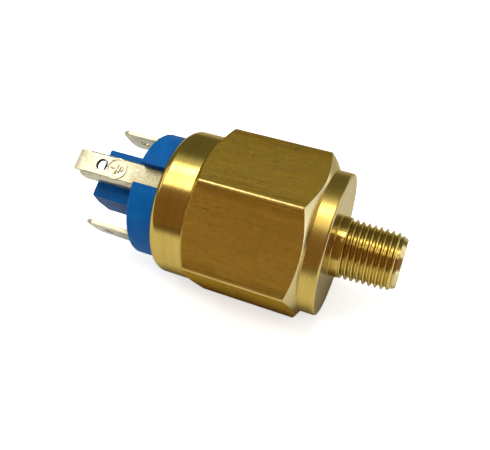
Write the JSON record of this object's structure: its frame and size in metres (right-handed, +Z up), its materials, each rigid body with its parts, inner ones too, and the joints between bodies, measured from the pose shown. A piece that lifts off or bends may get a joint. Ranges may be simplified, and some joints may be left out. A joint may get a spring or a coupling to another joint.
{
  "type": "pressure switch",
  "caption": "Hex brass pressure switch with a threaded inlet, a blue terminal base, flat plug blades, a folded earth terminal and an adjuster inside.",
  "frame": {"origin": "centre of the flange's seating face, where the neck behind the inlet thread begins", "axes": "+X along the body's axis out through the inlet thread, the terminals point to -X; +Z up, the body lies on one hex flat"},
  "size_m": [0.0577, 0.0298, 0.026],
  "materials": {
    "body_brass": "turned and drawn, bright",
    "turned_brass": "turned",
    "diaphragm_rubber": "matt",
    "seal_rubber": "matt",
    "foil": "smooth",
    "plated_steel": "zinc plated",
    "spring_steel": "drawn",
    "carrier_plastic": "moulded",
    "bridge_copper": "stamped",
    "contact_silver": "bright",
    "blue_plastic": "moulded, satin",
    "tinned_blade": "tin plated, satin"
  },
  "bodies": {
    "housing": {"body": "body_brass", "inlet_snubber": "turned_brass", "adjuster_nut": "turned_brass", "plug_insert": "turned_brass", "diaphragm": "diaphragm_rubber", "slip_foil": "foil", "guide_plate": "turned_brass", "spacer_sleeve": "plated_steel", "main_spring": "spring_steel", "terminal_base": "blue_plastic", "base_seal": "seal_rubber", "blade_upper": "tinned_blade", "blade_lower": "tinned_blade", "fixed_contact_upper": "contact_silver", "fixed_contact_lower": "contact_silver", "earth_terminal": "tinned_blade"},
    "plunger": {"piston": "plated_steel", "contact_carrier": "carrier_plastic", "contact_bridge": "bridge_copper", "bridge_contacts": "contact_silver", "insulating_washer": "carrier_plastic", "spring_cup": "plated_steel", "stem_clip": "spring_steel"},
    "spring_seat": {"spring_seat": "plated_steel"},
    "adjuster": {"adjusting_screw": "turned_brass"}
  },
  "joints": [
    {"name": "plunger_slide", "type": "slide", "parent": "housing", "child": "plunger", "axis": [-1, 0, 0], "range_m": [0, 0.0006], "stiffness_N_per_m": 800, "springref_m": -0.002, "deforming": ["main_spring"]},
    {"name": "seat_slide", "type": "slide", "parent": "housing", "child": "spring_seat", "axis": [1, 0, 0], "range_m": [-0.0005, 0.0005], "deforming": ["main_spring"]},
    {"name": "adjuster_turn", "type": "hinge", "parent": "spring_seat", "child": "adjuster", "pos_m": [-0.0365, 0, 0], "axis": [1, 0, 0], "range_deg": [-360, 360]}
  ],
  "couplings": [
    {"joint": "adjuster_turn", "follows": "seat_slide", "rad_per_m": 12566}
  ]
}
